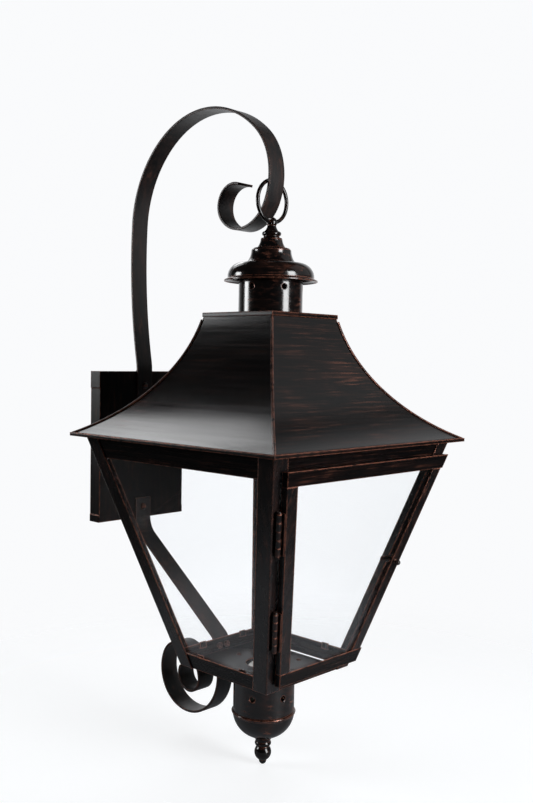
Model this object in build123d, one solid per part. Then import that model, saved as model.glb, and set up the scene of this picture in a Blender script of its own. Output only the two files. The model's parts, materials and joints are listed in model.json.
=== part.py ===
from build123d import *
from math import asin, atan, cos, degrees, radians, sin, sqrt
import os

# Outdoor wall lantern on a gooseneck bracket.
# Millimetres, +Z up. The wall is the plane Y = 0 and the lantern stands out towards -Y.
# The origin is the centre of the wall box's back. The lantern's own parts are drawn about its
# vertical axis with the eave at height 0, and are moved to their place when they are written.

# ---- where the lantern hangs ----
REACH = 254.0            # wall to the lantern's axis
EAVE_HEIGHT = 28.0       # eave above the wall box's centre

# ---- wall box ----
BOX_WIDTH = 144.0
BOX_HEIGHT = 198.0
BOX_DEPTH = 20.0
BOX_SHEET = 1.2
BOX_FLAP = 0.6           # folded flaps stand this far proud of the box's sides
TOP_FLAP = 22.0
BOTTOM_FLAP = 9.5
PLATE_SHEET = 2.0
WALL_SCREW_SPACING_X = 100.0
WALL_SCREW_SPACING_Z = 150.0
WALL_SCREW_HOLE = 2.75   # radius
CABLE_ENTRY_Z = -28.0
CABLE_ENTRY_HOLE = 9.0   # radius of the hole for the bush
CABLE_HOLE = 4.5         # radius through the bush

# ---- flat bar of the bracket: 25 x 3 ----
BAR_WIDTH = 25.0
BAR_THICK = 3.0
BAR_EDGE = 0.5           # rounding of its long edges
BAR_FACE_Y = -BOX_DEPTH - BAR_THICK / 2
# Runs are (None, length) and bends are (radius, turn); a positive turn is to the left
# seen with +Y to the right and +Z up.
GOOSENECK_FOOT = -34.0 + BOX_HEIGHT / 2 + 2.0
GOOSENECK_START = (BAR_FACE_Y, 34.0)
GOOSENECK = [
    (None, GOOSENECK_FOOT), (60.0, -11.0), (725.0, 14.5), (140.0, 52.5), (133.5, 77.0),
    (77.0, 70.5), (49.0, 58.0), (39.0, 55.0), (25.5, 153.5),
]
GOOSENECK_SCREWS = (50.0, 80.0)
ARM_FOOT = 26.0
ARM_FOOT_TOP = -71.5
ARM_BEND_RADIUS = 30.0
ARM_BEND = 53.5
ARM_RAIL_BEND_RADIUS = 12.0
ARM_RAIL_RUN = 14.0
ARM_SCREW_Z = -84.0
LOWER_SCROLL = [(96.0, 22.0), (57.0, 102.0), (46.0, 98.0), (30.5, 78.0), (43.0, 66.0), (19.0, 220.0)]

# ---- lantern body: an inverted square frustum, heights about the eave ----
BODY_TOP_Z = -1.5
BODY_BOTTOM_Z = -275.0
BODY_TOP_HALF = 152.24
BODY_BOTTOM_HALF = 71.0
POST_LEG = 21.0
SHEET = 1.5
POST_CORNER = 1.2
TOP_RAIL_LOW = -27.5
BOTTOM_RAIL_TOP = -257.0
FLANGE_Z = -273.7
FLANGE_WIDE = 5.5
GLASS = 2.5
GLASS_IN = 3.2           # depth of the panes behind the posts' faces
GLASS_EDGE = 6.5
GLASS_TOP = -16.0
GLASS_BOTTOM = -260.5
FLOOR_HALF = 68.6
FLOOR_RIGHT = 55.0       # the floor stops short here and leaves an air slot
FLOOR_HOLE = 21.0

# ---- roof ----
ROOF_BASE = 162.8
ROOF_TOP = 54.8
ROOF_TOP_Z = 141.0
ROOF_RADIUS = 208.0
ROOF_SHEET = 1.2
EAVE_HALF = 165.0
EAVE_INNER = 144.0
BAND_HALF = 56.3
BAND_Z = 143.6
BAND_LIP = 5.0
SEAM_WIDE = 3.0
SEAM_HIGH = 1.2
SEAM_GAP = 0.3

# ---- chimney, cap and finial ----
CHIMNEY_RADIUS = 37.6
CHIMNEY_TOP = 200.4
VENT_COUNT = 6
VENT_RADIUS = 3.3
CHIMNEY_VENT_Z = 173.5
CHIMNEY_VENT_ANGLE = -112.0
EYE_Z = 250.2
EYE_RADIUS = 6.3
EYE_HOLE = 3.0
RING_RADIUS = 24.35
RING_WIRE = 2.4
RING_LEAN = 0.6          # degrees, forward against the bar

# ---- drum and lampholder ----
DRUM_RADIUS = 36.5
DRUM_TOP = -272.2
DRUM_BOTTOM = -328.0
DRUM_FLANGE = 47.0
DRUM_VENT_Z = -305.0
DRUM_VENT_ANGLE = -98.0
SOCKET_BORE = 13.4       # radius of the screw-in mouth
SOCKET_DEPTH = 22.0
SOCKET_RADIUS = 18.5
SOCKET_TOP = -274.0
SOCKET_BASE = -311.0

# ---- door ----
DOOR_TOP = -18.0
DOOR_BOTTOM = -266.0
DOOR_LEFT = 11.0         # inset of the door's left edge from the body's corner
DOOR_RIGHT = 6.5
DOOR_STILE = 15.5
DOOR_LUG = 3.5           # the rails' right ends run past the stile
DOOR_RAIL = 16.0
DOOR_BACK = -1.6         # depths: negative stands out from the posts' faces
DOOR_FRONT = -9.1
DOOR_SHEET = 1.2
DOOR_GLASS_RIGHT = 19.6

# ---- hinges: frame X along the door, Y inwards, Z up the corner ----
HINGE_INSET = 6.0
HINGE_PROUD = 3.75
HINGE_Z = (-84.0, -197.0)
HINGE_LENGTH = 50.0
KNUCKLES = 5
KNUCKLE_RADIUS = 2.9
KNUCKLE_GAP = 0.3
PIN_RADIUS = 1.5
PIN_FIT = 0.06
LEAF = 1.0

# ---- latch ----
LATCH_INSET = 17.0
LATCH_Z = -141.0
LATCH_SPINDLE = 1.6
LATCH_KNOB = 3.3
TONGUE_LENGTH = 14.0
TONGUE_WIDE = 5.0

SLOPE = (BODY_TOP_HALF - BODY_BOTTOM_HALF) / (BODY_TOP_Z - BODY_BOTTOM_Z)
LEAN = degrees(atan(SLOPE))
UP_CORNER = Vector(-SLOPE, -SLOPE, 1).normalized()
FACE_OUT = Vector(0, -1, -SLOPE).normalized()
SIDES = {"front": 0, "right": 90, "back": 180, "left": 270}

parts = {}


# ---- shared shapes ----

def half_at(z):
    """Half the body's outside width at a height."""
    return BODY_BOTTOM_HALF + SLOPE * (z - BODY_BOTTOM_Z)


def turned(shape, angle):
    return Rot(0, 0, angle) * shape


def from_left(inset):
    """A line down the front face, inset from its left corner."""
    return lambda half: inset - half


def from_right(inset):
    return lambda half: half - inset


def at_x(x):
    return lambda half: x


def panel(z_low, z_high, left, right, outer, inner):
    """A plate parallel to the front face, between two lines down it and two depths behind the
    posts' faces."""
    places = ((z_low, left), (z_low, right), (z_high, right), (z_high, left))
    corners = [(side(half_at(z)), outer - half_at(z), z) for z, side in places]
    face = make_face(Polyline(*corners, close=True))
    return extrude(face, amount=inner - outer, dir=(0, 1, 0))


def wide_panel(z_low, z_high, inset, outer, inner):
    """A plate across the whole front face, inset alike from both corners."""
    return panel(z_low, z_high, from_left(inset), from_right(inset), outer, inner)


def square_ring(outer, inner, z_low, z_high):
    ring = Rectangle(2 * outer, 2 * outer) - Rectangle(2 * inner, 2 * inner)
    return Pos(0, 0, z_low) * extrude(ring, amount=z_high - z_low)


def tube(outer, inner, z_low, z_high):
    return Pos(0, 0, z_low) * extrude(Circle(outer) - Circle(inner), amount=z_high - z_low)


def drilled(shape, radius, count, z, first_angle):
    """Holes through the wall of an upright cylinder."""
    for i in range(count):
        angle = first_angle + i * 360 / count
        hole = Rot(0, 0, angle) * Pos(40, 0, z) * Rot(0, 90, 0) * Cylinder(radius, 30)
        shape -= hole
    return shape


def spun(*edges):
    """A turned or spun piece, from the edges of its half profile in radius and height."""
    return revolve(Plane.XZ * make_face(Curve() + list(edges)), Axis.Z)


def screw(radius, length, head_radius, head_height):
    """A round-headed screw: the shank runs down from 0 and the head stands above."""
    dome = ThreePointArc((head_radius, 0), (head_radius * 0.72, head_height * 0.7), (0, head_height))
    shank = Polyline((0, head_height), (0, -length), (radius, -length), (radius, 0), (head_radius, 0))
    body = spun(shank, dome)
    slot = Pos(0, 0, head_height) * Box(2.4 * head_radius, head_radius * 0.28, head_height * 0.7)
    return body - slot


def nut(width, thick, hole):
    """A hexagon nut lying below 0."""
    shape = RegularPolygon(width / 2, 6, major_radius=False) - Circle(hole)
    return extrude(shape, amount=-thick)


def bar_line(start, heading, steps, offset):
    """The edges of a bent bar's face line, beside its centre line, with the point and heading where
    it ends."""
    point = Vector(*start)
    angle = heading
    edges = []
    for radius, amount in steps:
        forward = Vector(cos(radians(angle)), sin(radians(angle)))
        left = Vector(-forward.Y, forward.X)
        if radius is None:
            end = point + forward * amount
            edges.append(Line(point + left * offset, end + left * offset))
            point = end
            continue
        side = 1 if amount > 0 else -1
        centre = point + left * (side * radius)
        spoke = left * -side
        ring = radius - side * offset
        middle = spoke.rotate(Axis.Z, amount / 2)
        last = spoke.rotate(Axis.Z, amount)
        edges.append(ThreePointArc(centre + spoke * ring, centre + middle * ring, centre + last * ring))
        point = centre + last * radius
        angle += amount
    return edges, point, angle


def bent_bar(start, heading, steps):
    """A flat bar bent in the plane X = 0, centred across X."""
    near = bar_line(start, heading, steps, BAR_THICK / 2)[0]
    far = bar_line(start, heading, steps, -BAR_THICK / 2)[0]
    caps = [Line(near[0] @ 0, far[0] @ 0), Line(near[-1] @ 1, far[-1] @ 1)]
    outline = make_face(Curve() + near + far + caps)
    bar = extrude(Plane.YZ * outline, amount=BAR_WIDTH / 2, both=True)
    rims = bar.edges().filter_by(lambda e: abs(abs(e.center().X) - BAR_WIDTH / 2) < 0.01)
    return fillet(rims, BAR_EDGE)


def to_wall(shape):
    """From the lantern's own axis to its place beside the wall."""
    return Pos(0, -REACH, EAVE_HEIGHT) * shape


# ---- wall box, with what is inside it ----

def make_wall_box():
    inner_x = BOX_WIDTH / 2 - BOX_SHEET - BOX_FLAP
    inner_z = BOX_HEIGHT / 2 - BOX_SHEET
    body = Pos(0, -BOX_DEPTH / 2, 0) * Box(BOX_WIDTH - 2 * BOX_FLAP, BOX_DEPTH, BOX_HEIGHT)
    top_flap = Pos(0, -BOX_DEPTH / 2, (BOX_HEIGHT - TOP_FLAP) / 2) * Box(BOX_WIDTH, BOX_DEPTH, TOP_FLAP)
    low_flap = Pos(0, -BOX_DEPTH / 2, (BOTTOM_FLAP - BOX_HEIGHT) / 2) * Box(
        BOX_WIDTH, BOX_DEPTH, BOTTOM_FLAP)
    body = body + top_flap + low_flap
    front_edges = body.edges().filter_by(lambda e: abs(e.center().Y + BOX_DEPTH) < 0.01)
    body = chamfer(front_edges, 0.4)
    hollow_depth = BOX_DEPTH - BOX_SHEET
    body -= Pos(0, -hollow_depth / 2, 0) * Box(2 * inner_x, hollow_depth, 2 * inner_z)
    for z in (*GOOSENECK_SCREWS, ARM_SCREW_Z):
        body -= Pos(0, -BOX_DEPTH, z) * Rot(90, 0, 0) * Cylinder(2.6, 10)
    for side in (-1, 1):
        body -= Pos(0, -8, side * BOX_HEIGHT / 2) * Cylinder(1.6, 10)
    return body


def make_mounting_plate():
    width = BOX_WIDTH - 2 * (BOX_SHEET + BOX_FLAP) - 1.0
    height = BOX_HEIGHT - 2 * BOX_SHEET - 1.0
    plate = Pos(0, -PLATE_SHEET / 2, 0) * Box(width, PLATE_SHEET, height)
    for x in (-1, 1):
        for z in (-1, 1):
            hole = Rot(90, 0, 0) * Cylinder(WALL_SCREW_HOLE, 10)
            plate -= Pos(x * WALL_SCREW_SPACING_X / 2, 0, z * WALL_SCREW_SPACING_Z / 2) * hole
    plate -= Pos(0, 0, CABLE_ENTRY_Z) * Rot(90, 0, 0) * Cylinder(CABLE_ENTRY_HOLE, 10)
    return plate


def make_box_lug():
    """A welded lug at the plate's top edge that takes the wall box's screw."""
    height = BOX_HEIGHT - 2 * BOX_SHEET - 1.0
    lug = Pos(0, -PLATE_SHEET - 6, (height - PLATE_SHEET) / 2) * Box(18, 12, PLATE_SHEET)
    return lug - Pos(0, -8, height / 2) * Cylinder(1.6, 10)


def make_cable_bush():
    """A rubber bush, grooved round the plate's edge; its wall side stays flush with the plate."""
    groove = CABLE_ENTRY_HOLE
    profile = Polyline((CABLE_HOLE, 0), (groove, 0), (groove, PLATE_SHEET), (groove + 2.5, PLATE_SHEET),
                       (groove + 1.5, 5), (CABLE_HOLE, 5), close=True)
    return Pos(0, 0, CABLE_ENTRY_Z) * Rot(90, 0, 0) * revolve(Plane.XZ * make_face(profile), Axis.Z)


def make_terminal_block():
    """Three-pole screw terminal block standing on the mounting plate."""
    block = Box(32, 10, 15)
    for x in (-10, 0, 10):
        block -= Pos(x, 0, 0) * Cylinder(2.2, 20)
        for z in (-4, 4):
            block -= Pos(x, -4, z) * Rot(90, 0, 0) * Cylinder(1.8, 5)
    return Pos(36, -PLATE_SHEET - 5, 20) * block


def add_wall_box():
    parts["wall_box"] = make_wall_box()
    parts["mounting_plate"] = make_mounting_plate()
    lug = make_box_lug()
    parts["box_lugs"] = Compound([lug, Rot(0, 180, 0) * lug])
    parts["cable_bush"] = make_cable_bush()
    parts["terminal_block"] = make_terminal_block()
    box_screw = Pos(0, -8, BOX_HEIGHT / 2) * screw(1.55, 6, 3.2, 1.8)
    parts["wall_box_screws"] = Compound([box_screw, Rot(0, 180, 0) * box_screw])


# ---- bracket ----

def arm_steps():
    """The lower arm leaves the wall box, runs straight to the lantern's back rail, lies flat on it
    and goes on into the scroll. The straight is as long as it takes to reach the rail."""
    heading = -90.0
    turn_to_rail = ARM_BEND - LEAN
    start = (BAR_FACE_Y + REACH, ARM_FOOT_TOP - EAVE_HEIGHT)
    first = [(None, ARM_FOOT), (ARM_BEND_RADIUS, -ARM_BEND)]
    last = [(ARM_RAIL_BEND_RADIUS, turn_to_rail)]
    corner, angle = bar_line(start, heading, first, 0)[1:]
    shift = bar_line((0, 0), angle, last, 0)[1]
    gap = corner.X + shift.X - half_at(corner.Y + shift.Y) - BAR_THICK / 2 / cos(radians(LEAN)) - 0.02
    gap += SHEET
    closing = SLOPE * sin(radians(angle)) - cos(radians(angle))
    steps = first + [(None, gap / closing)] + last + [(None, ARM_RAIL_RUN)]
    return start, heading, steps


def rail_screw_place():
    """The middle of the arm's flat run on the back rail, on its outer face, and the way out of it."""
    start, heading, steps = arm_steps()
    middle = steps[:-1] + [(None, ARM_RAIL_RUN / 2)]
    point = bar_line(start, heading, middle, 0)[1]
    outward = Vector(0, cos(radians(LEAN)), -sin(radians(LEAN)))
    place = Vector(0, point.X, point.Y) + outward * (BAR_THICK / 2)
    return Plane(origin=place, x_dir=(1, 0, 0), z_dir=outward)


def rail_screws(shape):
    seat = rail_screw_place()
    return [seat * Pos(x, 0, 0) * shape for x in (-6, 6)]


def add_bracket():
    gooseneck = bent_bar(GOOSENECK_START, 90.0, GOOSENECK)
    for z in GOOSENECK_SCREWS:
        gooseneck -= Pos(0, BAR_FACE_Y, z) * Rot(90, 0, 0) * Cylinder(2.6, 10)
    parts["gooseneck"] = gooseneck
    start, heading, steps = arm_steps()
    arm = bent_bar(start, heading, steps + LOWER_SCROLL)
    arm -= Pos(0, start[0], ARM_SCREW_Z - EAVE_HEIGHT) * Rot(90, 0, 0) * Cylinder(2.6, 10)
    for hole in rail_screws(Pos(0, 0, -2) * Cylinder(2.1, 8)):
        arm -= hole
    parts["lower_arm"] = to_wall(arm)
    face = -BOX_DEPTH - BAR_THICK
    bolt = Rot(90, 0, 0) * screw(2.5, 11, 4.6, 2.6)
    fixing = Rot(90, 0, 0) * Pos(0, 0, -BAR_THICK - BOX_SHEET) * nut(8, 4, 2.52)
    heights = (*GOOSENECK_SCREWS, ARM_SCREW_Z)
    parts["bracket_bolts"] = Compound([Pos(0, face, z) * bolt for z in heights])
    parts["bracket_nuts"] = Compound([Pos(0, face, z) * fixing for z in heights])
    parts["rail_screws"] = to_wall(Compound(rail_screws(screw(2.0, 9, 3.8, 2.2))))
    through = BAR_THICK + SHEET * cos(radians(LEAN)) + 0.05
    rail_nut = Pos(0, 0, -through) * nut(7, 3, 2.02)
    parts["rail_nuts"] = to_wall(Compound(rail_screws(rail_nut)))


# ---- lantern body ----

def make_post(angle):
    """A corner angle that follows the body's slant; its outer corner is slightly rounded."""
    half = BODY_BOTTOM_HALF
    step = POST_LEG - SHEET
    outline = Polyline((-half, -half), (POST_LEG - half, -half), (POST_LEG - half, SHEET - half),
                       (SHEET - half, SHEET - half), (SHEET - half, step + SHEET - half),
                       (-half, POST_LEG - half), close=True)
    section = make_face(outline)
    corner = section.vertices().sort_by_distance((-half, -half, 0))[0]
    section = Pos(0, 0, BODY_BOTTOM_Z) * fillet(corner, POST_CORNER)
    rise = BODY_TOP_Z - BODY_BOTTOM_Z
    return turned(extrude(section, amount=rise / UP_CORNER.Z, dir=UP_CORNER), angle)


def make_bottom_rail(angle, flanged):
    """A strip between the posts, with a flange under the floor on three of the four sides."""
    strip = wide_panel(BODY_BOTTOM_Z, BOTTOM_RAIL_TOP, 2 * SHEET, SHEET, 2 * SHEET)
    if not flanged:
        return turned(strip, angle)
    edge = 2 * SHEET + FLANGE_WIDE + 0.1
    flange = wide_panel(FLANGE_Z, FLANGE_Z + SHEET, edge, 2 * SHEET - 0.2, 2 * SHEET + FLANGE_WIDE)
    return turned(strip + flange, angle)


def make_floor():
    width = FLOOR_HALF + FLOOR_RIGHT
    z_low = FLANGE_Z + SHEET
    floor = Pos((FLOOR_RIGHT - FLOOR_HALF) / 2, 0, z_low + 0.6) * Box(width, 2 * FLOOR_HALF, 1.2)
    floor -= Pos(0, 0, z_low) * Cylinder(FLOOR_HOLE, 10)
    for i in range(3):
        floor -= Rot(0, 0, 90 + 120 * i) * Pos(42, 0, z_low) * Cylinder(1.6, 10)
    return floor


def make_clips():
    """Small bent tabs, soldered to the rails, that hold the three fixed panes from inside."""
    back = GLASS_IN + GLASS
    clips = []
    for side in ("right", "back", "left"):
        for x in (-1, 1):
            for glass_end, tip, spread in ((GLASS_TOP, -6, 80), (GLASS_BOTTOM, 6, 34)):
                beyond = -tip / 4
                left = x * spread - 5
                low, high = sorted((glass_end + tip, glass_end + beyond))
                tab = panel(low, high, at_x(left), at_x(left + 10), back + 0.15, back + 0.95)
                low, high = sorted((glass_end + beyond, glass_end + beyond - beyond / 2))
                web = panel(low, high, at_x(left), at_x(left + 10), 2 * SHEET, back + 0.95)
                clips.append(turned(tab + web, SIDES[side]))
    return Compound(clips)


def add_body():
    names = {"front_left": 0, "front_right": 90, "back_right": 180, "back_left": 270}
    notch = panel(LATCH_Z - 4, LATCH_Z + 4, from_right(POST_LEG + 3), from_right(LATCH_INSET - 3), -1, 3)
    for name, angle in names.items():
        post = make_post(angle)
        if name == "front_right":
            post -= notch
        parts["post_" + name] = to_wall(post)
    ring = None
    for angle in SIDES.values():
        strip = turned(wide_panel(TOP_RAIL_LOW, BODY_TOP_Z, SHEET, SHEET, 2 * SHEET), angle)
        ring = strip if ring is None else ring + strip
    parts["top_frame"] = to_wall(ring)
    for name, angle in SIDES.items():
        rail = make_bottom_rail(angle, name != "right")
        if name == "back":
            for hole in rail_screws(Pos(0, 0, -5) * Cylinder(2.1, 14)):
                rail -= hole
        parts["bottom_rail_" + name] = to_wall(rail)
    pane = wide_panel(GLASS_BOTTOM, GLASS_TOP, GLASS_EDGE, GLASS_IN, GLASS_IN + GLASS)
    for name in ("right", "back", "left"):
        parts["glass_" + name] = to_wall(turned(pane, SIDES[name]))
    parts["glass_clips"] = to_wall(make_clips())
    parts["floor_plate"] = to_wall(make_floor())


# ---- roof ----

def roof_centre():
    """Centre of the roof's hollow curve, in distance from the axis and height."""
    low = Vector(ROOF_BASE, 0)
    chord = Vector(ROOF_TOP, ROOF_TOP_Z) - low
    across = Vector(chord.Y, -chord.X).normalized()
    return low + chord * 0.5 + across * sqrt(ROOF_RADIUS ** 2 - (chord.length / 2) ** 2)


def roof_line(extra):
    """The roof's outline from the eave up, on its outer surface or `extra` inside it."""
    centre = roof_centre()
    ring = ROOF_RADIUS + extra
    angles = [180 + degrees(asin((centre.Y - z) / ring)) for z in (0, ROOF_TOP_Z)]
    return CenterArc(centre, ring, angles[0], angles[1] - angles[0])


def roof_layer(outer_extra, inner_extra):
    """A layer that follows the front of the roof, mitred at both hips."""
    outer = roof_line(outer_extra)
    inner = roof_line(inner_extra)
    ends = [Line(outer @ 0, inner @ 0), Line(outer @ 1, inner @ 1)]
    reach = EAVE_HALF + 10
    section = Plane.YZ.offset(-reach) * mirror(make_face(Curve() + [outer, inner] + ends), Plane.YZ)
    sheet = extrude(section, amount=2 * reach)
    far = 2 * EAVE_HALF
    wedge = extrude(make_face(Polyline((0, 0), (-far, -far), (far, -far), close=True)), amount=far)
    return sheet & wedge


def make_hip_seam():
    """A raised seam soldered along the curve of the front left hip."""
    front = roof_layer(-SEAM_GAP - SEAM_HIGH, -SEAM_GAP)
    seam = front + turned(front, 270)
    slab = Pos(-120, -120, 0) * Rot(0, 0, 45) * Box(180, SEAM_WIDE, 2 * (ROOF_TOP_Z - BAND_LIP - 0.4))
    lip = Box(2 * (EAVE_HALF - 1.6), 2 * (EAVE_HALF - 1.6), 600)
    return seam & slab & lip


def add_roof():
    sheet = roof_layer(0, ROOF_SHEET)
    for name, angle in SIDES.items():
        parts["roof_" + name] = to_wall(turned(sheet, angle))
    seam = make_hip_seam()
    parts["hip_seams"] = to_wall(Compound([turned(seam, 90 * i) for i in range(4)]))
    eave = square_ring(EAVE_HALF, EAVE_INNER, BODY_TOP_Z, 0) + square_ring(EAVE_HALF, 163.8, -3.2, 0.8)
    parts["eave_frame"] = to_wall(eave)
    band = square_ring(BAND_HALF, BAND_HALF - 0.7, BAND_Z - BAND_LIP, BAND_Z)
    lid = Pos(0, 0, BAND_Z - 0.6) * Box(2 * BAND_HALF, 2 * BAND_HALF, 1.2)
    band = band + lid - Pos(0, 0, BAND_Z) * Cylinder(CHIMNEY_RADIUS - 1.2, 10)
    top_edges = band.edges().filter_by(lambda e: e.center().Z > BAND_Z - 0.01)
    parts["roof_top_band"] = to_wall(chamfer(top_edges.filter_by(GeomType.LINE), 0.4))


# ---- chimney, cap, finial and ring ----

def make_vent_cap():
    """A spun cap: a lipped bell below, and two smaller tiers above it."""
    outside = [
        Polyline((53.7, 180.8), (54.9, 180.8), (54.9, 182.4), (50.8, 184.6)),
        ThreePointArc((50.8, 184.6), (48.6, 194.6), (40.0, 201.8)),
        Line((40.0, 201.8), (28.6, 203.4)),
        ThreePointArc((28.6, 203.4), (25.0, 209.5), (23.4, 217.6)),
        Polyline((23.4, 217.6), (21.6, 219.6), (17.2, 220.4)),
        ThreePointArc((17.2, 220.4), (14.4, 224.6), (12.8, 230.4)),
        Line((12.8, 230.4), (3.1, 230.4)),
    ]
    inside = [
        Polyline((3.1, 230.4), (3.1, 229.2), (11.8, 229.2)),
        ThreePointArc((11.8, 229.2), (13.2, 224.0), (16.2, 219.4)),
        Polyline((16.2, 219.4), (20.9, 218.4), (22.2, 216.9)),
        ThreePointArc((22.2, 216.9), (23.8, 208.9), (27.6, 202.3)),
        Line((27.6, 202.3), (39.3, 200.6)),
        ThreePointArc((39.3, 200.6), (47.4, 193.8), (49.6, 183.9)),
        Polyline((49.6, 183.9), (53.7, 181.7), (53.7, 180.8)),
    ]
    return spun(*outside, *inside)


def make_top_finial():
    """A turned finial with an eye across X, on a threaded stud that holds the cap."""
    stem = spun(
        Polyline((0, 247), (0, 212), (3.0, 212), (3.0, 230.5), (12.4, 230.5), (12.4, 231.6)),
        ThreePointArc((12.4, 231.6), (9.6, 233.0), (9.4, 234.2)),
        ThreePointArc((9.4, 234.2), (11.3, 236.6), (8.6, 239.6)),
        ThreePointArc((8.6, 239.6), (6.4, 242.6), (5.0, 247.0)),
        Line((5.0, 247.0), (0, 247.0)),
    )
    eye = Pos(0, 0, EYE_Z) * Sphere(EYE_RADIUS)
    cheek = Pos(10 + 4.2, 0, EYE_Z + 4) * Box(20, 20, 14)
    eye = eye - cheek - mirror(cheek, Plane.YZ)
    return stem + eye - Pos(0, 0, EYE_Z) * Rot(0, 90, 0) * Cylinder(EYE_HOLE, 40)


def add_chimney():
    chimney = tube(CHIMNEY_RADIUS, CHIMNEY_RADIUS - 1.2, BAND_Z, CHIMNEY_TOP)
    chimney = drilled(chimney, VENT_RADIUS, VENT_COUNT, CHIMNEY_VENT_Z, CHIMNEY_VENT_ANGLE)
    parts["chimney"] = to_wall(chimney)
    parts["vent_cap"] = to_wall(make_vent_cap())
    parts["top_finial"] = to_wall(make_top_finial())
    nuts = [Pos(0, 0, z) * nut(10, 5, 3.02) for z in (229.2, -354.0)]
    parts["finial_nuts"] = to_wall(Compound(nuts))
    ring = Pos(0, 0, RING_RADIUS) * Rot(90, 0, 0) * Torus(RING_RADIUS, RING_WIRE)
    parts["ring"] = to_wall(Pos(0, 0, EYE_Z) * Rot(RING_LEAN, 0, 0) * ring)


# ---- drum, lampholder and lower finial ----

def add_drum():
    drum = tube(DRUM_RADIUS, DRUM_RADIUS - 1.2, DRUM_BOTTOM, DRUM_TOP)
    flange = tube(DRUM_FLANGE, DRUM_RADIUS - 1.2, DRUM_TOP - 1.2, DRUM_TOP)
    seats = [Rot(0, 0, 90 + 120 * i) * Pos(42, 0, DRUM_TOP) for i in range(3)]
    for seat in seats:
        flange -= seat * Cylinder(1.6, 10)
    drum = drilled(drum, VENT_RADIUS, VENT_COUNT, DRUM_VENT_Z, DRUM_VENT_ANGLE)
    parts["drum"] = to_wall(drum + flange)
    rivet = Pos(0, 0, 1.2) * screw(1.55, 5, 3.0, 1.6)
    parts["drum_screws"] = to_wall(Compound([seat * rivet for seat in seats]))
    parts["drum_bowl"] = to_wall(spun(
        Polyline((34.2, -323.5), (35.2, -323.5), (35.2, -328.2), (37.6, -328.2), (38.4, -329.0),
                 (38.0, -330.2), (36.9, -331.4)),
        ThreePointArc((36.9, -331.4), (31.6, -346.2), (18.5, -357.6)),
        Polyline((18.5, -357.6), (13.0, -360.2), (3.1, -360.2), (3.1, -359.0), (12.7, -359.0), (17.9, -356.5)),
        ThreePointArc((17.9, -356.5), (30.6, -345.5), (35.4, -331.6)),
        Polyline((35.4, -331.6), (34.2, -329.6), (34.2, -323.5)),
    ))
    parts["lower_finial"] = to_wall(spun(
        Polyline((0, -350), (3.0, -350), (3.0, -360.3), (11.6, -360.3), (11.6, -361.8)),
        ThreePointArc((11.6, -361.8), (9.4, -364.2), (9.0, -366.6)),
        ThreePointArc((9.0, -366.6), (9.8, -369.6), (6.9, -372.4)),
        ThreePointArc((6.9, -372.4), (10.1, -381.0), (4.6, -389.2)),
        ThreePointArc((4.6, -389.2), (3.4, -393.2), (0.6, -395.0)),
        Polyline((0.6, -395.0), (0, -395.0), (0, -350)),
    ))


def add_lampholder():
    """A ceramic screw-in lampholder, mouth up, on a spring-steel bracket across the drum."""
    mouth = SOCKET_TOP - SOCKET_DEPTH
    holder = spun(
        Polyline((SOCKET_BORE, mouth), (SOCKET_BORE, SOCKET_TOP), (SOCKET_RADIUS - 1, SOCKET_TOP),
                 (SOCKET_RADIUS, SOCKET_TOP - 1), (SOCKET_RADIUS, mouth - 2), (14.5, mouth - 6),
                 (14.5, SOCKET_BASE), (2.1, SOCKET_BASE), (2.1, mouth - 3), (9, mouth - 3), (9, mouth),
                 close=True))
    parts["lampholder"] = to_wall(holder)
    contact = Pos(0, 0, mouth - 2.3) * Box(6, 14, 1.2)
    contact += Pos(0, 0, mouth - 1.3) * Cylinder(4, 1.4)
    parts["lampholder_contact"] = to_wall(contact)
    seat = SOCKET_BASE - 1.5
    inner = DRUM_RADIUS - 1.2 - 0.1
    bridge = Pos(0, 0, seat + 0.75) * Box(2 * inner, 14, 1.5)
    for side in (-1, 1):
        bridge += Pos(side * (inner - 2.0), 0, seat + 6) * Box(2.6, 14, 12)
    bridge &= Pos(0, 0, seat) * Cylinder(inner, 60)
    bridge -= Pos(0, 0, seat) * Cylinder(2.1, 10)
    holder_screw = Pos(0, 0, seat) * Rot(180, 0, 0) * screw(2.0, 12, 3.6, 2.0)
    parts["holder_bridge"] = to_wall(turned(bridge, -8))
    parts["holder_screw"] = to_wall(holder_screw)


# ---- door ----

def folded(z_low, z_high, left, right, *flanges):
    """A strip of the door: its face, and flanges turned back along some of its edges."""
    shape = panel(z_low, z_high, left, right, DOOR_FRONT, DOOR_FRONT + DOOR_SHEET)
    for flange in flanges:
        shape += panel(*flange, DOOR_FRONT, DOOR_BACK)
    return shape


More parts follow.
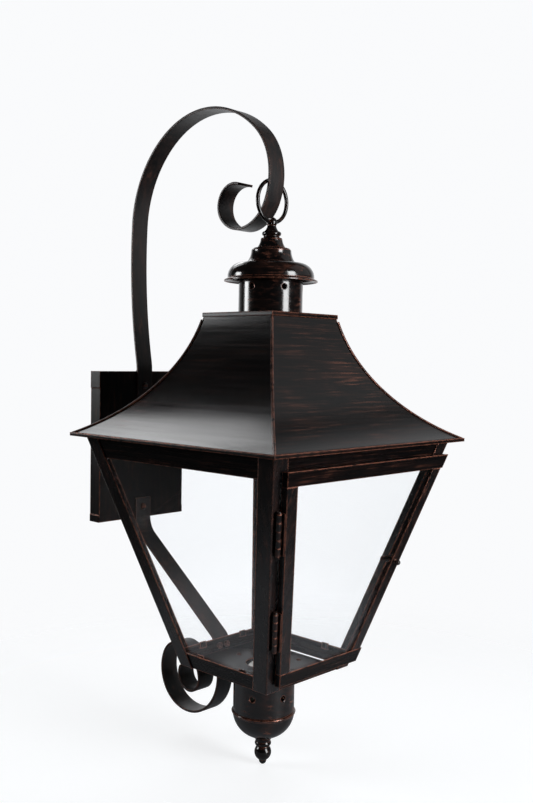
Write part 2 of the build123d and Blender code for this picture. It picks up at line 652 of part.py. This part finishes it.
def add_door_frame():
    """Two rails that run the whole width, with the stiles between them."""
    left = from_left(DOOR_LEFT)
    right = from_right(DOOR_RIGHT)
    end = from_right(DOOR_RIGHT - DOOR_LUG)
    left_fold = from_left(DOOR_LEFT + DOOR_SHEET)
    right_fold = from_right(DOOR_RIGHT + DOOR_SHEET)
    end_fold = from_right(DOOR_RIGHT - DOOR_LUG + DOOR_SHEET)
    low_in = DOOR_BOTTOM + DOOR_RAIL
    high_in = DOOR_TOP - DOOR_RAIL
    stile_left = folded(low_in, high_in, left, from_left(DOOR_LEFT + DOOR_STILE),
                        (low_in, high_in, left, left_fold))
    stile_right = folded(low_in, high_in, from_right(DOOR_RIGHT + DOOR_STILE), right,
                         (low_in, high_in, right_fold, right))
    rail_top = folded(high_in, DOOR_TOP, left, end,
                      (DOOR_TOP - DOOR_SHEET, DOOR_TOP, left, end),
                      (high_in, DOOR_TOP, left, left_fold), (high_in, DOOR_TOP, end_fold, end))
    rail_bottom = folded(DOOR_BOTTOM, low_in, left, end,
                         (DOOR_BOTTOM, DOOR_BOTTOM + DOOR_SHEET, left, end),
                         (DOOR_BOTTOM, low_in, left, left_fold), (DOOR_BOTTOM, low_in, end_fold, end))
    spindle_hole = latch_place() * Cylinder(LATCH_SPINDLE + 0.06, 60)
    parts["door_stile_left"] = to_wall(stile_left)
    parts["door_stile_right"] = to_wall(stile_right - spindle_hole)
    parts["door_rail_top"] = to_wall(rail_top)
    parts["door_rail_bottom"] = to_wall(rail_bottom)


def add_door_glass():
    outer = DOOR_FRONT + DOOR_SHEET + 0.1
    inner = outer + GLASS
    left = from_left(DOOR_LEFT + DOOR_SHEET + 1.5)
    low = DOOR_BOTTOM + DOOR_SHEET + 1.5
    high = DOOR_TOP - DOOR_SHEET - 1.5
    parts["door_glass"] = to_wall(panel(low, high, left, from_right(DOOR_GLASS_RIGHT), outer, inner))
    clips = []
    for z_end, tip in ((high, -7), (low, 7)):
        for x in (-1, 1):
            spread = 34 if tip > 0 else 80
            sides = (at_x(x * spread - 5), at_x(x * spread + 5))
            base_low, base_high = sorted((z_end - tip / 7 * 0.9, z_end - tip / 7 * 1.5))
            low_end, high_end = sorted((z_end + tip, z_end - tip / 7 * 1.5))
            clips.append(panel(low_end, high_end, *sides, inner + 0.1, inner + 0.9)
                         + panel(base_low, base_high, *sides, DOOR_FRONT + DOOR_SHEET, inner + 0.9))
    parts["door_glass_clips"] = to_wall(Compound(clips))


# ---- hinges ----

def hinge_axis(z):
    half = half_at(z)
    return Vector(HINGE_INSET - half, -half - HINGE_PROUD, z)


def hinge_place(z):
    """X runs along the door, Y inwards and Z up the body's corner."""
    inward = FACE_OUT * -1
    return Plane(origin=hinge_axis(z), x_dir=inward.cross(UP_CORNER), z_dir=UP_CORNER)


def knuckle(low, length):
    shape = Pos(0, 0, low + length / 2) * Cylinder(KNUCKLE_RADIUS, length - KNUCKLE_GAP)
    return shape - Pos(0, 0, low + length / 2) * Cylinder(PIN_RADIUS + PIN_FIT, length + 2)


def make_hinge():
    """The post's leaf and the door's leaf of one butt hinge, about its own axis."""
    length = HINGE_LENGTH / KNUCKLES
    seat = HINGE_PROUD * cos(radians(LEAN)) - 0.05
    clear = KNUCKLE_RADIUS + 0.25
    post = Pos(clear + 5.5, seat - LEAF / 2, 0) * Box(11, LEAF, HINGE_LENGTH)
    side = (DOOR_LEFT - HINGE_INSET) * UP_CORNER.cross(FACE_OUT).normalized().X - 0.4
    door = Pos(side - LEAF / 2, -1.8, 0) * Box(LEAF, 6.4, HINGE_LENGTH)
    for i in range(KNUCKLES):
        low = -HINGE_LENGTH / 2 + i * length
        middle = low + length / 2
        if i % 2 == 0:
            web = Pos(clear / 2 + 0.1, seat - LEAF / 2, middle) * Box(clear + 0.2, LEAF, length - KNUCKLE_GAP)
            web -= Pos(0, 0, middle) * Cylinder(PIN_RADIUS + PIN_FIT, length)
            post = post + web + knuckle(low, length)
        else:
            web = Pos((side + 1.9) / 2, 0, middle) * Box(side - 1.9, LEAF, length - KNUCKLE_GAP)
            door = door + web + knuckle(low, length)
    return post, door


def make_hinge_pin():
    """A pin with a domed head at each end."""
    end = HINGE_LENGTH / 2 + 0.1
    top = ThreePointArc((2.4, end + 0.7), (1.7, end + 1.9), (0.4, end + 2.4))
    low = ThreePointArc((2.4, -end - 0.7), (1.7, -end - 1.9), (0.4, -end - 2.4))
    side = Polyline((2.4, end + 0.7), (2.4, end), (PIN_RADIUS, end), (PIN_RADIUS, -end), (2.4, -end),
                    (2.4, -end - 0.7))
    core = Polyline((0.4, -end - 2.4), (0, -end - 2.4), (0, end + 2.4), (0.4, end + 2.4))
    return spun(top, side, low, core)


def add_hinges():
    post_leaf, door_leaf = make_hinge()
    for name, z in (("upper", HINGE_Z[0]), ("lower", HINGE_Z[1])):
        parts[name + "_hinge_post_leaf"] = to_wall(hinge_place(z) * post_leaf)
        parts[name + "_hinge_door_leaf"] = to_wall(hinge_place(z) * door_leaf)
    pins = [hinge_place(z) * make_hinge_pin() for z in HINGE_Z]
    parts["hinge_pins"] = to_wall(Compound(pins))


# ---- latch ----

def latch_place():
    """On the posts' front face, looking out of it."""
    half = half_at(LATCH_Z)
    return Plane(origin=(half - LATCH_INSET, -half, LATCH_Z), x_dir=(1, 0, 0), z_dir=FACE_OUT)


def add_latch():
    """A turn latch: a ball knob on a spindle, with a tongue that swings behind the post."""
    face = -DOOR_FRONT * cos(radians(LEAN))
    tongue_out = -SHEET - 0.8
    spindle = Pos(0, 0, (face + tongue_out) / 2 - 1) * Cylinder(LATCH_SPINDLE, face - tongue_out + 4)
    spindle += Pos(0, 0, face + 0.65) * Cylinder(LATCH_SPINDLE + 1.3, 1.0)
    spindle += Pos(0, 0, face + 1.0 + LATCH_KNOB) * Sphere(LATCH_KNOB)
    tongue = Pos(-TONGUE_LENGTH / 2 + 1.25, 0, tongue_out - 1) * Box(TONGUE_LENGTH + 2.5, TONGUE_WIDE, 1.6)
    tongue = fillet(tongue.edges().filter_by(Axis.Z), 1.6)
    tongue -= Cylinder(LATCH_SPINDLE + 0.03, 60)
    place = latch_place()
    parts["latch_knob"] = to_wall(place * spindle)
    parts["latch_tongue"] = to_wall(place * tongue)


add_wall_box()
add_bracket()
add_body()
add_roof()
add_chimney()
add_drum()
add_lampholder()
add_door_frame()
add_door_glass()
add_hinges()
add_latch()

os.makedirs("parts", exist_ok=True)
for name, shape in parts.items():
    export_step(shape, f"parts/{name}.step")
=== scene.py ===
import json
import math

import bpy
from mathutils import Matrix, Vector


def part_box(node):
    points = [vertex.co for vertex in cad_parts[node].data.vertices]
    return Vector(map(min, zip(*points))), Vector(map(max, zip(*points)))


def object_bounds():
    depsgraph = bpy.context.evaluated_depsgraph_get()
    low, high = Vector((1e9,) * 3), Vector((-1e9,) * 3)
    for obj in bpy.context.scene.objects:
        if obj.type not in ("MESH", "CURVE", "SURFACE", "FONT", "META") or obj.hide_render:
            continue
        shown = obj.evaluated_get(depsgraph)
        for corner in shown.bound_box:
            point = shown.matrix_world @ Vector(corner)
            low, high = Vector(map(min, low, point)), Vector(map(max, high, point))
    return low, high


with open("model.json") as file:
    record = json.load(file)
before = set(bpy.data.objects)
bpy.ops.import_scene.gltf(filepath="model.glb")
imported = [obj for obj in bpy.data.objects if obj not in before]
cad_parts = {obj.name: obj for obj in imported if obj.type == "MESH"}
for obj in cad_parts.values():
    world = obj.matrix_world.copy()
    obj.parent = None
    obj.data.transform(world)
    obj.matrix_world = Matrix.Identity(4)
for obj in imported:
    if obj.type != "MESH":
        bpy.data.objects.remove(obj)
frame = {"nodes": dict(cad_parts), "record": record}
cad_low, cad_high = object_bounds()
nodes = frame["nodes"]
scene = bpy.context.scene


# ---- small helpers for shader nodes ----

class Graph:
    """Adds nodes to one material and joins them."""

    def __init__(self, name):
        self.material = bpy.data.materials.new(name)
        self.material.use_nodes = True
        self.tree = self.material.node_tree
        self.shader = self.tree.nodes["Principled BSDF"]

    def add(self, kind, values=(), **settings):
        node = self.tree.nodes.new("ShaderNode" + kind)
        for key, value in settings.items():
            setattr(node, key, value)
        for socket, value in dict(values).items():
            self.put(node.inputs[socket], value)
        return node

    def put(self, socket, value):
        if isinstance(value, bpy.types.NodeSocket):
            self.tree.links.new(value, socket)
        else:
            socket.default_value = value

    def math(self, operation, a, b=0.0, clamp=False):
        return self.add("Math", {0: a, 1: b}, operation=operation, use_clamp=clamp).outputs[0]

    def noise(self, vector, scale, detail=3.0, roughness=0.55):
        node = self.add("TexNoise", {"Vector": vector, "Scale": scale, "Detail": detail,
                                     "Roughness": roughness})
        return node.outputs["Fac"]

    def steps(self, value, low, high):
        """0 below low, 1 above high, smooth between."""
        node = self.add("MapRange", {"Value": value, "From Min": low, "From Max": high},
                        interpolation_type="SMOOTHSTEP")
        return node.outputs["Result"]

    def blend(self, factor, a, b):
        node = self.add("Mix", {"Factor": factor, 6: a, 7: b}, data_type="RGBA")
        return node.outputs[2]

    def place(self):
        return self.add("TexCoord").outputs["Object"]

    def scaled(self, vector, x, y, z):
        return self.add("Mapping", {"Vector": vector, "Scale": (x, y, z)}).outputs["Vector"]

    def set(self, **values):
        for name, value in values.items():
            self.put(self.shader.inputs[name.replace("_", " ")], value)


def colour(r, g, b):
    return (r, g, b, 1.0)


def edge_mask(g, radius):
    """Near 1 along outside and inside edges, from the turn of a rounded normal."""
    rounded = g.add("Bevel", {"Radius": radius}, samples=6).outputs["Normal"]
    flat = g.add("NewGeometry").outputs["Normal"]
    dot = g.add("VectorMath", {0: rounded, 1: flat}, operation="DOT_PRODUCT").outputs["Value"]
    return g.math("SUBTRACT", 1.0, dot), rounded


def patina(name, brush, wear=0.5, patch_scale=14.0, rough=0.3, edge=1.0, edge_radius=0.0020,
           dark=(0.0016, 0.0015, 0.0017), copper=(0.36, 0.135, 0.085), grain=0.10, shine=0.5):
    """Satin near-black paint with copper showing through along brush strokes and on edges."""
    g = Graph(name)
    at = g.place()

    # Copper along fine and broad strokes, in some patches more than in others.
    strokes = brush(g, at)
    fine = g.noise(strokes, 1.0, 5.0, 0.62)
    wide = g.noise(strokes, 0.27, 3.0, 0.5)
    patches = g.noise(at, patch_scale, 3.0, 0.55)
    line = g.steps(fine, 0.50, 0.70)
    band = g.steps(wide, 0.48, 0.72)
    where = g.math("ADD", g.math("MULTIPLY", g.steps(patches, 0.47, 0.68), 0.85), 0.15)
    streaks = g.math("MULTIPLY", g.math("ADD", line, g.math("MULTIPLY", band, 0.3)), where)

    # Copper on the edges, where the paint is rubbed off unevenly.
    bend, rounded = edge_mask(g, edge_radius)
    broken = g.noise(at, 110.0, 4.0, 0.7)
    rim = g.math("MULTIPLY", g.steps(bend, 0.004, 0.10), g.steps(broken, 0.30, 0.60))
    rubbed = g.math("MULTIPLY", rim, edge)
    total = g.math("MAXIMUM", g.math("MULTIPLY", streaks, wear), rubbed, clamp=True)

    # The paint itself, near-black with a brown tinge in places.
    brown = tuple(min(1.0, c * k) for c, k in zip(dark, (3.6, 2.1, 1.7)))
    ground = g.blend(g.steps(g.noise(strokes, 0.5, 4.0, 0.6), 0.35, 0.75), colour(*dark), colour(*brown))
    g.set(Base_Color=g.blend(total, ground, colour(*copper)), Specular_IOR_Level=shine)
    g.set(Metallic=g.math("MULTIPLY", total, 0.55))

    # Gloss that varies along the strokes, and a slight relief.
    uneven = g.math("MULTIPLY", g.noise(strokes, 0.6, 4.0, 0.6), 0.22)
    g.set(Roughness=g.math("ADD", g.math("ADD", uneven, rough - 0.11), g.math("MULTIPLY", total, 0.12)))
    height = g.math("ADD", g.math("MULTIPLY", fine, 0.7), g.math("MULTIPLY", g.noise(at, 420.0, 2.0), 0.06))
    bump = g.add("Bump", {"Strength": grain, "Distance": 0.0006, "Height": height, "Normal": rounded})
    g.set(Normal=bump.outputs["Normal"])
    return g.material


# ---- brush directions: the noise is stretched along the strokes ----

def level_strokes(g, at):
    """Strokes that run level round a square body."""
    parts = g.add("SeparateXYZ", {0: at}).outputs
    along = g.math("ADD", parts["X"], parts["Y"])
    return g.add("CombineXYZ", {"X": g.math("MULTIPLY", along, 15.0), "Y": 0.0,
                                "Z": g.math("MULTIPLY", parts["Z"], 430.0)}).outputs[0]


def round_strokes(centre, z_scale):
    """Strokes round an upright axis."""
    def brush(g, at):
        parts = g.add("SeparateXYZ", {0: at}).outputs
        x = g.math("SUBTRACT", parts["X"], centre.x)
        y = g.math("SUBTRACT", parts["Y"], centre.y)
        turn = g.math("ARCTAN2", x, y)
        return g.add("CombineXYZ", {"X": g.math("MULTIPLY", turn, 2.6), "Y": 0.0,
                                    "Z": g.math("MULTIPLY", parts["Z"], z_scale)}).outputs[0]
    return brush


def long_strokes(g, at):
    """Strokes that run mostly up and down."""
    return g.scaled(at, 190.0, 190.0, 26.0)


def any_strokes(g, at):
    return g.scaled(at, 150.0, 150.0, 150.0)


# ---- other materials ----

def clear_glass():
    """Clear panes with a faint smear. They dim a shadow only a little."""
    g = Graph("clear_glass_look")
    at = g.place()
    smear = g.steps(g.noise(at, 16.0, 5.0, 0.6), 0.56, 0.80)
    g.set(Base_Color=colour(0.985, 0.993, 1.0), Transmission_Weight=1.0, IOR=1.5)
    g.set(Roughness=g.math("MULTIPLY", smear, 0.012))
    shadow = g.add("LightPath").outputs["Is Shadow Ray"]
    g.set(Alpha=g.math("SUBTRACT", 1.0, g.math("MULTIPLY", shadow, 0.9)))
    return g.material


def plain_metal(name, tint, rough, scale):
    """Bare metal with a cloudy surface."""
    g = Graph(name)
    at = g.place()
    cloud = g.noise(at, scale, 4.0)
    darker = tuple(c * 0.72 for c in tint)
    g.set(Base_Color=g.blend(g.steps(cloud, 0.35, 0.7), colour(*darker), colour(*tint)), Metallic=1.0)
    g.set(Roughness=g.math("ADD", g.math("MULTIPLY", cloud, 0.2), rough - 0.1))
    bump = g.add("Bump", {"Strength": 0.1, "Distance": 0.0004, "Height": g.noise(at, scale * 9, 2.0)})
    g.set(Normal=bump.outputs["Normal"])
    return g.material


def moulded(name, tint, rough, scale, strength):
    """Ceramic, rubber or plastic out of a mould."""
    g = Graph(name)
    at = g.place()
    cloud = g.noise(at, scale, 4.0)
    darker = tuple(c * 0.85 for c in tint)
    g.set(Base_Color=g.blend(cloud, colour(*darker), colour(*tint)))
    g.set(Roughness=g.math("ADD", g.math("MULTIPLY", cloud, 0.16), rough - 0.08))
    bump = g.add("Bump", {"Strength": strength, "Distance": 0.0004, "Height": g.noise(at, scale * 12, 3.0)})
    g.set(Normal=bump.outputs["Normal"])
    return g.material


low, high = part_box("chimney")
axis_at = (low + high) / 2

looks = {
    "roof_patina": patina("roof_patina_look", level_strokes, wear=0.26, rough=0.20, patch_scale=11.0,
                          grain=0.08),
    "spun_patina": patina("spun_patina_look", round_strokes(axis_at, 240.0), wear=0.42, rough=0.15,
                          patch_scale=34.0, shine=0.7),
    "frame_patina": patina("frame_patina_look", long_strokes, wear=0.20, rough=0.26, patch_scale=26.0,
                           dark=(0.0035, 0.0035, 0.0039)),
    "frame_level": patina("frame_level_look", level_strokes, wear=0.16, rough=0.28, patch_scale=26.0,
                          shine=0.2, grain=0.04),
    "box_paint": patina("box_paint_look", long_strokes, wear=0.10, rough=0.36, patch_scale=20.0,
                        edge=0.7, shine=0.2),
    "bar_black": patina("bar_black_look", long_strokes, wear=0.10, rough=0.40, patch_scale=30.0,
                        edge=0.8, edge_radius=0.0014, dark=(0.007, 0.007, 0.0076), shine=0.35),
    "dark_fixings": patina("dark_fixings_look", any_strokes, wear=0.6, rough=0.30, patch_scale=60.0),
    "gloss_black": patina("gloss_black_look", any_strokes, wear=0.16, rough=0.15, patch_scale=60.0,
                          edge=0.6, edge_radius=0.0014, grain=0.04),
    "clear_glass": clear_glass(),
    "zinc_steel": plain_metal("zinc_steel_look", (0.62, 0.62, 0.60), 0.38, 60.0),
    "contact_brass": plain_metal("contact_brass_look", (0.72, 0.50, 0.20), 0.32, 70.0),
    "ceramic": moulded("ceramic_look", (0.84, 0.83, 0.79), 0.16, 30.0, 0.04),
    "bush_rubber": moulded("bush_rubber_look", (0.02, 0.02, 0.021), 0.62, 60.0, 0.3),
    "terminal_plastic": moulded("terminal_plastic_look", (0.78, 0.78, 0.73), 0.42, 50.0, 0.1),
}

# Level pieces of the frame have their strokes along them. The arm's nuts are painted over.
LEVEL_NODES = ("top_frame", "eave_frame", "roof_top_band", "floor_plate", "bottom_rail_", "door_rail_")
for part in frame["record"]["subparts"]:
    look = part["material_slot"]
    if part["node"].startswith(LEVEL_NODES):
        look = "frame_level"
    elif part["node"] == "rail_nuts":
        look = "dark_fixings"
    mesh = nodes[part["node"]].data
    mesh.materials.clear()
    mesh.materials.append(looks[look])


# ---- smooth shading on curved CAD faces ----

SHARP_ANGLE = math.radians(28)
for node in nodes.values():
    node.data.shade_smooth()
    node.data.set_sharp_from_angle(angle=SHARP_ANGLE)


# ---- floor ----

GLASS_GAIN = 0.06        # how much the backdrop gains at each glass surface in front of it
FLOOR_REACH = 1.2        # from the lantern's axis to the floor's edge
FLOOR_GAP = 0.0006       # below the lowest point, so that nothing touches it
FLOOR_FADE = (0.42, 0.85)     # distances from the axis between which the floor fades out
MIRRORED_FADE = (0.36, 0.52)  # the same for the floor as the lantern reflects it
FLOOR_GLOW = 0.74        # lifts the floor to the backdrop's white, but only where it is seen directly


def make_floor():
    """A white disc that fades out, so that no horizon shows."""
    mesh = bpy.data.meshes.new("floor")
    z = cad_low.z - FLOOR_GAP
    signs = ((-1, -1), (1, -1), (1, 1), (-1, 1))
    corners = [(axis_at.x + i * FLOOR_REACH, axis_at.y + j * FLOOR_REACH, z) for i, j in signs]
    mesh.from_pydata(corners, [], [(0, 1, 2, 3)])
    floor = bpy.data.objects.new("floor", mesh)
    scene.collection.objects.link(floor)
    g = Graph("floor_look")
    at = g.place()
    away = g.add("VectorMath", {0: at, 1: (axis_at.x, axis_at.y, z)}, operation="DISTANCE").outputs["Value"]
    cloud = g.noise(at, 3.0, 3.0)
    path = g.add("LightPath").outputs
    through = path["Transmission Depth"]
    straight = g.math("SUBTRACT", 1.0, g.math("SUBTRACT", path["Ray Depth"], through), clamp=True)
    glow = g.math("ADD", g.math("MULTIPLY", through, GLASS_GAIN * FLOOR_GLOW), FLOOR_GLOW)
    pale = g.blend(cloud, colour(0.30, 0.31, 0.325), colour(0.33, 0.34, 0.35))
    beyond = g.steps(away, *MIRRORED_FADE)
    dim = g.blend(beyond, colour(0.30, 0.31, 0.33), colour(0.01, 0.01, 0.011))
    g.set(Base_Color=g.blend(straight, dim, pale), Roughness=0.7)
    g.set(Emission_Color=colour(0.99, 0.995, 1.0), Emission_Strength=g.math("MULTIPLY", straight, glow))
    from_below = g.add("NewGeometry").outputs["Backfacing"]
    cover = g.math("SUBTRACT", 1.0, g.steps(away, *FLOOR_FADE))
    g.set(Alpha=g.math("SUBTRACT", cover, from_below, clamp=True))
    mesh.materials.append(g.material)


make_floor()


# ---- camera ----

CAMERA_AT = Vector((-0.7931, -1.00554, 0.11845))
AZIMUTH = math.radians(-46.4)
PITCH = math.radians(2.62)
ROLL = math.radians(0.98)
LENS = 41.55
flat = Vector((-math.sin(AZIMUTH), math.cos(AZIMUTH), 0))
forward = flat * math.cos(PITCH) - Vector((0, 0, math.sin(PITCH)))
level = forward.cross(Vector((0, 0, 1))).normalized()
upright = level.cross(forward)
right = level * math.cos(ROLL) + upright * math.sin(ROLL)
up = upright * math.cos(ROLL) - level * math.sin(ROLL)


def make_camera():
    data = bpy.data.cameras.new("camera")
    data.sensor_fit = "AUTO"
    data.sensor_width = 36.0
    data.lens = LENS
    data.clip_start = 0.05
    data.clip_end = 200.0
    camera = bpy.data.objects.new("camera", data)
    turn = Matrix((right, up, -forward)).transposed().to_4x4()
    camera.matrix_world = Matrix.Translation(CAMERA_AT) @ turn
    scene.collection.objects.link(camera)
    scene.camera = camera


make_camera()


# ---- studio: a white surround beyond the lantern, dimmer behind the camera, and soft boxes ----

SEEN = colour(0.955, 0.962, 0.975)   # the backdrop as the camera sees it
LIT = colour(0.965, 0.978, 1.0)      # the same as the lantern is lit by it
AHEAD = (0.55, 0.93)                 # cosines from the view direction between which it brightens
BRIGHTNESS = (0.02, 0.95)


def make_world():
    world = bpy.data.worlds.new("studio")
    world.use_nodes = True
    tree = world.node_tree
    tree.nodes.clear()

    def add(kind, inputs=(), **settings):
        node = tree.nodes.new("ShaderNode" + kind)
        for key, value in settings.items():
            setattr(node, key, value)
        for socket, value in dict(inputs).items():
            if isinstance(value, bpy.types.NodeSocket):
                tree.links.new(value, node.inputs[socket])
            else:
                node.inputs[socket].default_value = value
        return node

    def calc(operation, a, b, clamp=False):
        return add("Math", {0: a, 1: b}, operation=operation, use_clamp=clamp).outputs[0]

    ray = add("TexCoord").outputs["Generated"]
    dot = add("VectorMath", {0: ray, 1: tuple(forward)}, operation="DOT_PRODUCT").outputs["Value"]
    ramp = {"Value": dot, "From Min": AHEAD[0], "From Max": AHEAD[1],
            "To Min": BRIGHTNESS[0], "To Max": BRIGHTNESS[1]}
    spread = add("MapRange", ramp, interpolation_type="SMOOTHSTEP").outputs["Result"]
    lit = add("Background", {"Color": LIT, "Strength": spread})
    path = add("LightPath").outputs
    bounced = calc("SUBTRACT", path["Ray Depth"], path["Transmission Depth"])
    unbent = calc("SUBTRACT", 2.0, bounced, clamp=True)
    through = calc("MULTIPLY", unbent, path["Is Transmission Ray"])
    straight = calc("MAXIMUM", path["Is Camera Ray"], through)
    gain = calc("ADD", calc("MULTIPLY", path["Transmission Depth"], GLASS_GAIN), 1.0)
    seen = add("Background", {"Color": SEEN, "Strength": gain})
    mix = add("MixShader", {0: straight, 1: lit.outputs[0], 2: seen.outputs[0]})
    add("OutputWorld", {"Surface": mix.outputs[0]})
    scene.world = world


def soft_box(name, side, height, ahead, width, tall, power, aim_height):
    """A soft box placed by the camera's own directions, aimed at the lantern's axis."""
    centre = Vector((axis_at.x, axis_at.y, aim_height))
    place = centre + level * side + flat * ahead + Vector((0, 0, height))
    data = bpy.data.lights.new(name, "AREA")
    data.shape = "RECTANGLE"
    data.size = width
    data.size_y = tall
    data.energy = power
    data.color = (0.98, 0.99, 1.0)
    lamp = bpy.data.objects.new(name, data)
    lamp.rotation_euler = (centre - place).to_track_quat("-Z", "Y").to_euler()
    lamp.location = place
    lamp.visible_camera = False
    lamp.visible_transmission = False
    scene.collection.objects.link(lamp)


make_world()
soft_box("box_left", side=-1.5, height=0.22, ahead=0.14, width=0.48, tall=0.50, power=10.0,
         aim_height=0.15)
soft_box("box_right", side=1.24, height=0.15, ahead=-0.84, width=0.55, tall=1.3, power=30.0,
         aim_height=0.1)
soft_box("box_upper_right", side=1.5, height=1.0, ahead=0.3, width=1.6, tall=1.6, power=2.2,
         aim_height=0.1)
soft_box("box_back", side=-0.65, height=1.15, ahead=1.3, width=1.0, tall=0.7, power=6.5,
         aim_height=0.1)
scene.view_settings.view_transform = "Standard"
